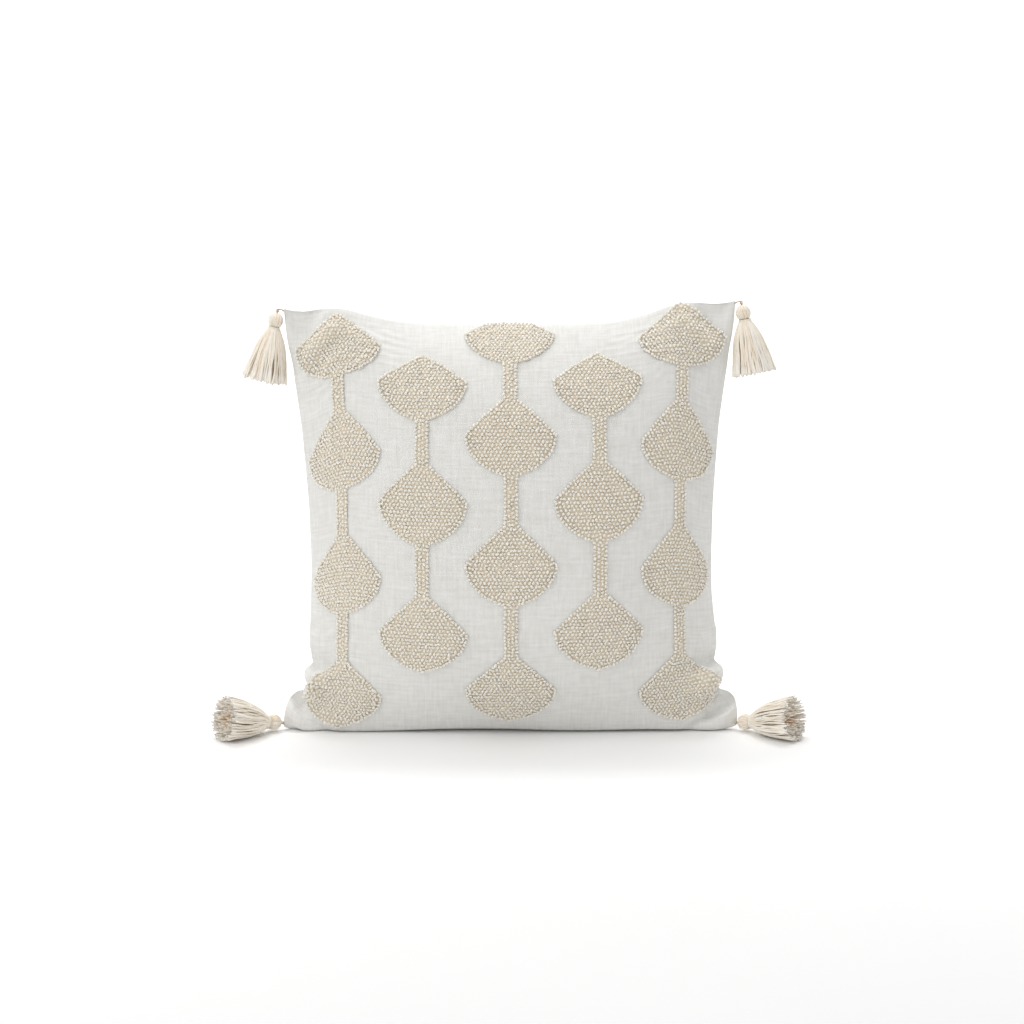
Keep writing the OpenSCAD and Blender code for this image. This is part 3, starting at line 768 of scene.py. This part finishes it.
# ------------------------------------------------ tassels
CORD_R, LOOP_R, LOOP_GAP, HEAD_R, HEAD_H = 0.0008, 0.0016, 0.0004, 0.0075, 0.0165
HEAD_TOP = LOOP_GAP + 2 * (LOOP_R + CORD_R) + LOOP_GAP
NECK_R, WRAP_H, SKIRT_H, CUT_END_R = 0.0052, 0.0026, 0.049, 0.0215
NECK_TOP = HEAD_TOP + HEAD_H - 0.0016
SKIRT_TOP = NECK_TOP + WRAP_H
TOP_POINT = (TOP_W / 2 + 0.005, BASE_Y + LEAN - 0.0005, MID_H + RISE + 0.0003)
LOW_POINT = (BOTTOM_W / 2 - 0.0005, ZIP_Y, 0.0063)
UPPER_SLANT, LOWER_LIFT, LOWER_YAW = math.radians(12), math.radians(13), math.radians(38)
SKIRTS = {"top": (2.6, 0.0192, 1.07), "bottom": (2.6, 0.0205, 1.0)}  # opening, half width, share of SKIRT_H
CORD_ENDS = {"top": (0.0066, 0.0036), "bottom": (0.0020, 0)}  # how far the cord's end reaches in and down
SEEDS = {"top_left": 7, "top_right": 8, "bottom_left": 9, "bottom_right": 10}
STOUT = 1.10  # the lower heads are squashed by the weight that lies on them
FLOOR_GAP, SOFT_FLOOR = 0.0009, 0.004  # where strands lie, and from how far above it they give way


def hung(at, left, pts):
    """Points drawn hanging along -Z from the seam, taken to one corner of the pillow."""
    turn = UPPER_SLANT if at == "top" else math.pi / 2 + LOWER_LIFT
    yaw = 0 if at == "top" else LOWER_YAW
    p = np.asarray(pts, float)
    x, y, z = p[..., 0], p[..., 1], p[..., 2]
    c, s = math.cos(-turn), math.sin(-turn)
    x, z = c * x + s * z, -s * x + c * z
    c, s = math.cos(-yaw), math.sin(-yaw)
    x, y = c * x - s * y, s * x + c * y
    o = TOP_POINT if at == "top" else LOW_POINT
    x, y, z = x + o[0], y + o[1], z + o[2] + (TILT * (-1 if left else 1) if at == "top" else 0)
    return np.stack([-x if left else x, y, z], -1)


def yarn_piece(name, paths, radii, depth, tone, material, body, node, sides=6, closed=False):
    pts, quads = tubes(paths, radii, sides, closed)
    o = make_mesh(name, pts, quads, yarn_attributes(depth, tone, sides), [material])
    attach(o, body)
    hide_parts(node)


def skirt_radius(t, bell, wide):
    return NECK_R + (wide - NECK_R) * (1 - (1 - t) ** bell)


def skirt_paths(rng, bell, wide, long, stout):
    """Strands from the neck: 104 over the outside, the rest within. The cut ends open out a little."""
    n, m, skin = 320, 15, 104
    rho = np.sqrt(rng.uniform(0.02, 1, n))
    rho[:skin] = rng.uniform(0.90, 1.0, skin)
    phi = rng.uniform(0, 2 * np.pi, n)
    phi[:skin] = np.arange(skin) / skin * 2 * np.pi + rng.normal(0, 0.03, skin)
    length = SKIRT_H * long * np.clip(rng.normal(0.99, 0.02, n), 0.92, 1.04)
    t = np.linspace(0, 1, m)[None] ** 1.3 * np.ones((n, 1))
    wave = rng.uniform(0, 2 * np.pi, (n, 2))
    swing = rng.normal(0, 1, (n, 2))
    clump = 0.06 * np.sin(phi * 9 + rng.uniform(0, 6)) + 0.05 * np.sin(phi * 17 + rng.uniform(0, 6))
    r = rho[:, None] * skirt_radius(t, bell, wide) * (1 - 0.04 * np.sin(np.pi * t))
    r = r * (1 + (stout - 1) * (1 - t) ** 2)
    ang = phi[:, None] + clump[:, None] * t
    ang = ang + 0.05 * swing[:, :1] * t ** 2 + 0.03 * np.sin(9 * t + wave[:, :1])
    ripple = 0.03 * np.sin(7 * t + wave[:, 1:]) * t + 0.04 * swing[:, 1:] * t ** 2
    r = r * (1 + ripple + (CUT_END_R / wide - 1) * t ** 4)
    z = -(SKIRT_TOP - 0.0016) - length[:, None] * t
    paths = np.stack([r * np.cos(ang), r * np.sin(ang), z], -1)
    radii = np.clip(rng.normal(0.00066, 0.0001, (n, 1)), 0.00045, 0.0009) * (1 + 0.4 * t ** 3)
    radii[:, -1] *= 0.7
    # painted shade: inner strands get the yarn's warm shade colour, and the cut ends are lifted out of it
    depth = np.clip((rho[:, None] - 0.45) / 0.5, 0, 1) * np.ones((1, m))
    depth = np.clip(depth + 0.8 * np.clip((t - 0.82) / 0.18, 0, 1), 0, 1)
    tone = np.repeat(np.clip(rng.normal(0.5, 0.3, (n, 1)), 0, 1), m, 1)
    tone = tone + (1 - tone) * np.clip((t - 0.75) / 0.25, 0, 1) * 0.7
    return paths, radii, depth, tone


def head_point(th, ang, r):
    """A point of the egg-shaped head: th is 0 at its top and pi at its bottom."""
    x = r * np.sin(th)
    return np.stack([x * np.cos(ang), x * np.sin(ang),
                     -(HEAD_TOP + HEAD_H / 2) + (r + HEAD_H / 2 - HEAD_R) * np.cos(th)], -1)


def head_paths(rng):
    """Threads that run over the ball of the head, from its top down to the neck."""
    n, m = 44, 14
    phi = np.arange(n) / n * 2 * np.pi + rng.normal(0, 0.025, n)
    th = np.linspace(0.10, math.pi - 0.60, m)[None] * np.ones((n, 1))
    ang = phi[:, None] + 0.12 * np.sin(th * 1.5 + rng.uniform(0, 6, (n, 1)))
    paths = head_point(th, ang, HEAD_R - 0.00062)
    radii = 0.00064 * (0.45 + 0.55 * np.sin(th))
    # painted shade: the threads low on the head, above the neck, are a little darker
    depth = 0.95 - 0.25 * (np.cos(th) < -0.6)
    tone = np.repeat(np.clip(rng.normal(0.45, 0.2, (n, 1)), 0, 1), m, 1)
    return paths, radii, depth, tone


def binding_paths(rng):
    """Three turns of yarn round the neck."""
    n, m = 3, 30
    ang = np.linspace(0, 2 * np.pi, m, endpoint=False)[None] * np.ones((n, 1))
    r = NECK_R + 0.0006 + 0.0001 * rng.standard_normal((n, 1))
    uneven = 0.0002 * np.sin(ang + rng.uniform(0, 6, (n, 1)))
    z = -(NECK_TOP + 0.0003) - 0.0011 * np.arange(n)[:, None] + uneven
    paths = np.stack([r * np.cos(ang), r * np.sin(ang), z], -1)
    tone = rng.uniform(0.2, 0.7, (n, 1)) * np.ones((1, m))
    # a depth of 0.7 gives the binding a little of the painted shade colour
    return paths, np.full((n, m), 0.00064), np.full((n, m), 0.7), tone


def cord_paths(shift, drop):
    """A narrow loop of two-ply cord, from the seam down into the head."""
    m, turns = 40, 6
    th = np.linspace(0, 2 * np.pi, m, endpoint=False)
    centre = -(LOOP_GAP + LOOP_R + CORD_R)
    mid = np.stack([0.00085 * np.sin(th), 0 * th, centre + (LOOP_R + 0.0014) * np.cos(th)], -1)
    mid[:, 0] -= np.clip(np.cos(th), 0, 1) * shift
    mid[:, 2] -= np.clip(np.cos(th), 0, 1) ** 2 * drop
    out = np.stack([np.sin(th), 0 * th, np.cos(th)], -1)
    plies = []
    for k in (0, 1):
        a = (th * turns + math.pi * k)[:, None]
        plies.append(mid + 0.00036 * (np.cos(a) * out + np.sin(a) * np.array([0, 1.0, 0])))
    return np.stack(plies), np.full((2, m), 0.00044), np.full((2, m), 0.8), np.full((2, m), 0.5)


def tassel(at, side, yarn, cord):
    left, name = side == "left", f"{at}_{side}"
    rng = np.random.default_rng(SEEDS[name])
    body = f"tassel_{name}"
    stout = 1 if at == "top" else STOUT
    skirt = skirt_paths(rng, *SKIRTS[at], stout)
    parts = (("head", head_paths(rng), 5), ("binding", binding_paths(rng), 6), ("skirt", skirt, 6))
    for part, (paths, radii, depth, tone), sides in parts:
        if part != "skirt":
            paths = paths * (stout, stout, 1)
        placed = hung(at, left, paths)
        if at == "bottom":
            up = placed[..., 2] - FLOOR_GAP
            lain = SOFT_FLOOR * np.exp((up - SOFT_FLOOR) / SOFT_FLOOR)
            placed[..., 2] = FLOOR_GAP + np.where(up > SOFT_FLOOR, up, lain)
        yarn_piece(f"{part}_yarn_{name}", placed, radii, depth, tone, yarn, body, f"{part}_{name}",
                   sides=sides, closed=part == "binding")
    head_core(name, at, left, yarn, body, stout)
    paths, radii, depth, tone = cord_paths(*CORD_ENDS[at])
    yarn_piece(f"cord_{name}_plies", hung(at, left, paths), radii, depth, tone, cord, f"cord_{name}",
               f"loop_{name}", closed=True)


def head_core(name, at, left, material, body, stout):
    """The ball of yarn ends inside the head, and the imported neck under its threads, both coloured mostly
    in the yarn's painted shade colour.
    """
    ball = head_point(np.linspace(0.02, math.pi - 0.6, 14), 0.0, HEAD_R - 0.0008)
    r = np.r_[ball[:, 0], NECK_R - 0.0003, NECK_R + 0.0010, 0.0005]
    z = np.r_[ball[:, 2], -(NECK_TOP + 0.001), -(SKIRT_TOP + 0.004), -(SKIRT_TOP + 0.012)]
    ang = np.linspace(0, 2 * np.pi, 25)
    pts = np.stack([r[:, None] * np.cos(ang), r[:, None] * np.sin(ang), z[:, None] * np.ones(25)], -1)
    pts = hung(at, left, pts * (stout, stout, 1))
    attrs = core_attributes(len(r) * 25, 0.25)
    o = make_mesh(f"head_core_{name}", pts, grid_quads(len(r), 25, flip=left), attrs, [material])
    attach(o, body)
    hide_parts(f"head_{name}")


# ------------------------------------------------ insert and zip
def layer_grid(grid, inset, lift):
    """A smoother copy of a cover panel, moved inwards by inset and up to lift."""
    n = grid.shape[0] - 1
    g = grid[::n // COARSE, ::n // COARSE].copy()
    for _ in range(3):
        h = g.copy()
        h[1:-1, 1:-1] = (g[1:-1, 1:-1] * 2 + g[:-2, 1:-1] + g[2:, 1:-1] + g[1:-1, :-2] + g[1:-1, 2:]) / 6
        g = h
    u = np.linspace(-1, 1, g.shape[1])[None]
    v = np.linspace(-1, 1, g.shape[0])[:, None]
    middle = BASE_Y + LEAN * (v + 1) / 2
    round_off = 1 - 0.10 * np.abs(u) ** 6 * np.abs(v) ** 6
    g[..., 0] *= (1 - inset / HALF * 1.15) * round_off
    thick = g[..., 1] - middle
    g[..., 1] = middle + np.sign(thick) * np.maximum(np.abs(thick) - inset, 0.0004 + 0 * thick)
    mid = MID_H / 2
    g[..., 2] = np.maximum(mid + (g[..., 2] - mid) * (1 - inset / mid) * round_off, lift)
    return g


def insert_pieces(front, back, cloth_mat, fibre_mat):
    last, rows = COARSE, COARSE + 1
    for tag, grid, side in (("front", front, -1), ("back", back, 1)):
        g = layer_grid(grid, 0.0035, 0.0125)
        U, V = material_grid(last)
        attrs = [("cloth", np.stack([U, V, 0 * U], -1).reshape(-1, 3))]
        o = make_mesh(f"insert_{tag}_cloth", g, grid_quads(rows, rows, flip=side > 0), attrs, [cloth_mat])
        sub = o.modifiers.new("smooth", "SUBSURF")
        sub.levels = sub.render_levels = 1
        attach(o, "cushion")
        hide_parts(f"insert_{tag}")
    f, b = layer_grid(front, 0.006, 0.0145), layer_grid(back, 0.006, 0.0145)
    pts = np.concatenate([f.reshape(-1, 3), b.reshape(-1, 3)])
    ring = [(0, j) for j in range(last)] + [(i, last) for i in range(last)]
    ring += [(last, j) for j in range(last, 0, -1)] + [(i, 0) for i in range(last, 0, -1)]
    idx = np.array([i * rows + j for i, j in ring])
    nxt = np.roll(idx, -1)
    wall = np.stack([idx, idx + rows ** 2, nxt + rows ** 2, nxt], -1)
    quads = np.concatenate([grid_quads(rows, rows), grid_quads(rows, rows, flip=True) + rows ** 2, wall])
    o = make_mesh("loose_fibre", pts, quads, (), [fibre_mat])
    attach(o, "cushion")
    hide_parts("fibre_fill")


def paint(node, material):
    slots = NODES[node].material_slots
    if not slots:
        NODES[node].data.materials.append(material)
    for s in NODES[node].material_slots:
        s.link = "OBJECT"
        s.material = material


# ------------------------------------------------ camera, light and floor
def look_at(obj, target):
    obj.rotation_euler = (Vector(target) - obj.location).to_track_quat("-Z", "Y").to_euler()


def make_camera():
    data = bpy.data.cameras.new("camera")
    cam = bpy.data.objects.new("camera", data)
    bpy.context.scene.collection.objects.link(cam)
    cam.location = (0.0, -1.50, 0.43)
    data.sensor_width, data.lens = 36.0, 53.5
    look_at(cam, (0.0025, 0.0, 0.218))
    bpy.context.scene.camera = cam


def area_light(name, place, target, power, size, colour=(1, 1, 1)):
    data = bpy.data.lights.new(name, "AREA")
    data.energy, data.size, data.color = power, size, colour
    o = bpy.data.objects.new(name, data)
    o.location = place
    look_at(o, target)
    bpy.context.scene.collection.objects.link(o)


def make_studio():
    m = Nodes("studio_white")
    vec = m.add("ShaderNodeTexCoord").outputs["Object"]
    grain = m.noise(vec, (3, 3, 3), 2)
    white = m.ramp(grain, ((0.3, (0.93, 0.93, 0.93)), (0.7, (0.94, 0.94, 0.94))))
    floor_mat = m.finish(white, roughness=0.9)
    bend = np.linspace(0, math.pi / 2, 24)
    y = np.r_[-6, 2 + 1.5 * np.sin(bend), 3.5]
    z = np.r_[0, 1.5 - 1.5 * np.cos(bend), 6]
    x = np.linspace(-7, 7, 3)
    across, row = np.ones((len(y), 1)), np.ones((1, 3))
    pts = np.stack([x[None] * across, y[:, None] * row, z[:, None] * row], -1)
    floor = make_mesh("floor", pts, grid_quads(len(y), 3), (), [floor_mat])
    area_light("key", (-1.6, -1.3, 1.7), (0, 0, 0.2), 12, 1.3, (1.0, 0.99, 0.97))
    area_light("top", (-0.2, -0.4, 2.3), (0, 0.0, 0.2), 14.5, 2.2)
    area_light("backdrop", (0.0, 0.9, 2.6), (0, 3.4, 0.9), 90, 2.0)
    world = bpy.data.worlds.new("world")
    bpy.context.scene.world = world
    world.use_nodes = True
    bg = world.node_tree.nodes["Background"]
    bg.inputs["Color"].default_value = (1.0, 1.0, 1.0, 1)
    bg.inputs["Strength"].default_value = 0.60
    bpy.context.scene.view_settings.view_transform = "Standard"


def main():
    make_camera()
    make_studio()
    cover = woven_material("cover_cloth", (0.84, 0.835, 0.81), (0.70, 0.69, 0.655))
    plain = woven_material("insert_cloth_white", (0.88, 0.88, 0.87), (0.80, 0.80, 0.79), 0.0006)
    label = woven_material("label_cloth", (0.88, 0.88, 0.87), (0.80, 0.80, 0.79), 0.0004, "Object")
    tape = woven_material("tape_cloth", (0.84, 0.83, 0.80), (0.72, 0.71, 0.67), 0.0005, "Object")
    # the loops' third colour is painted shade for their lower halves
    loops = yarn_material("tuft_loops", (0.95, 0.92, 0.85), (0.88, 0.83, 0.73), (0.74, 0.65, 0.51))
    # painted shade: the layer under the loops is a tan sheet for the shade between them
    ground = yarn_material("tuft_feet_painted_shade", (0.82, 0.73, 0.60), (0.76, 0.67, 0.53), (0.76, 0.67, 0.53))
    # the tassel yarn's orange third colour is painted shade, warmed like light through the yarn
    yarn = yarn_material("tassel_strands", (0.96, 0.92, 0.85), (0.89, 0.78, 0.63), (0.92, 0.64, 0.36), 0.75)
    cord = yarn_material("tan_cord", (0.55, 0.38, 0.22), (0.45, 0.30, 0.17), (0.30, 0.19, 0.10))
    metal, coil = metal_material("zip_zinc"), coil_material("zip_nylon")
    fibre = fibre_material("polyester_fibre")

    front, back = simulate_cover()
    front, back = pressed(front, back, -1), pressed(back, front, 1)
    cover_panel("front_cloth", "front_panel", front, -1, cover)
    cover_panel("back_cloth", "back_panel", back, 1, cover)
    surface = Surface(front)
    for k in range(1, 6):
        tufted_column(k, surface, loops, ground)
    for at in ("top", "bottom"):
        for side in ("left", "right"):
            tassel(at, side, yarn, cord)
    insert_pieces(front, back, plain, fibre)
    paint("insert_label", label)
    for node in ("zip_tape_front", "zip_tape_back"):
        paint(node, tape)
    for node in ("zip_teeth_front", "zip_teeth_back"):
        paint(node, coil)
    for node in ("zip_bottom_stop", "zip_top_stops", "zip_slider", "zip_pull"):
        paint(node, metal)


main()
